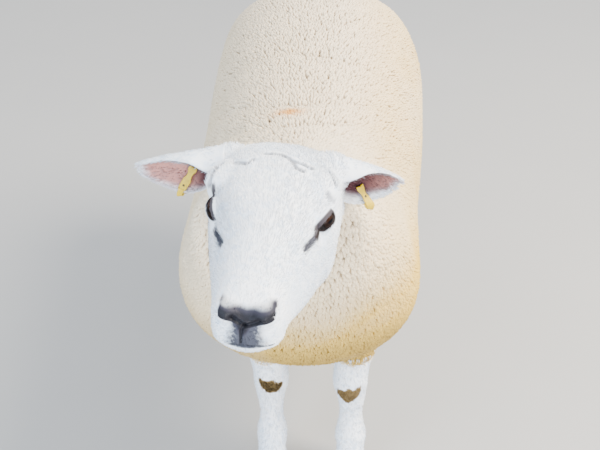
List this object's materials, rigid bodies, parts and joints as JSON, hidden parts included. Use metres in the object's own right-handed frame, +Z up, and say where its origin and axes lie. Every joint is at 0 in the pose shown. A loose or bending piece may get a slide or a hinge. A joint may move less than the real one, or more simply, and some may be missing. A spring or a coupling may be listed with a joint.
{
  "type": "sheep",
  "caption": "Life-size standing sheep of a heavy white-faced meat type, head raised and turned a little, short dense fleece, with a plain strip tag in each ear.",
  "frame": {"origin": "on the floor under the middle of the whole sheep's bounding box, hooves' soles on Z = 0", "axes": "the sheep faces -Y, its left side is at +X and +Z is up"},
  "size_m": [0.422, 1.4, 0.9022],
  "materials": {
    "fleece": "dense short wool, matt",
    "face_hair": "very short flat white hair",
    "leg_hair": "short flat cream hair",
    "ear_hair": "short white hair outside, bare pink skin inside",
    "hoof_horn": "dull dark horn",
    "dewclaw_horn": "dull dark horn",
    "eye": "wet and glossy",
    "tag": "satin moulded plastic, blank"
  },
  "bodies": {
    "root": {"claw_front_left_inner": "hoof_horn", "claw_front_left_outer": "hoof_horn", "claw_front_right_inner": "hoof_horn", "claw_front_right_outer": "hoof_horn", "claw_hind_left_inner": "hoof_horn", "claw_hind_left_outer": "hoof_horn", "claw_hind_right_inner": "hoof_horn", "claw_hind_right_outer": "hoof_horn", "dewclaw_front_left_inner": "dewclaw_horn", "dewclaw_front_left_outer": "dewclaw_horn", "dewclaw_front_right_inner": "dewclaw_horn", "dewclaw_front_right_outer": "dewclaw_horn", "dewclaw_hind_left_inner": "dewclaw_horn", "dewclaw_hind_left_outer": "dewclaw_horn", "dewclaw_hind_right_inner": "dewclaw_horn", "dewclaw_hind_right_outer": "dewclaw_horn", "ear_left": "ear_hair", "ear_right": "ear_hair", "eye_left": "eye", "eye_right": "eye", "head": "face_hair", "leg_front_left": "leg_hair", "leg_front_right": "leg_hair", "leg_hind_left": "leg_hair", "leg_hind_right": "leg_hair", "neck": "fleece", "tag_left": "tag", "tag_right": "tag", "tail": "fleece", "trunk": "fleece"}
  },
  "joints": []
}
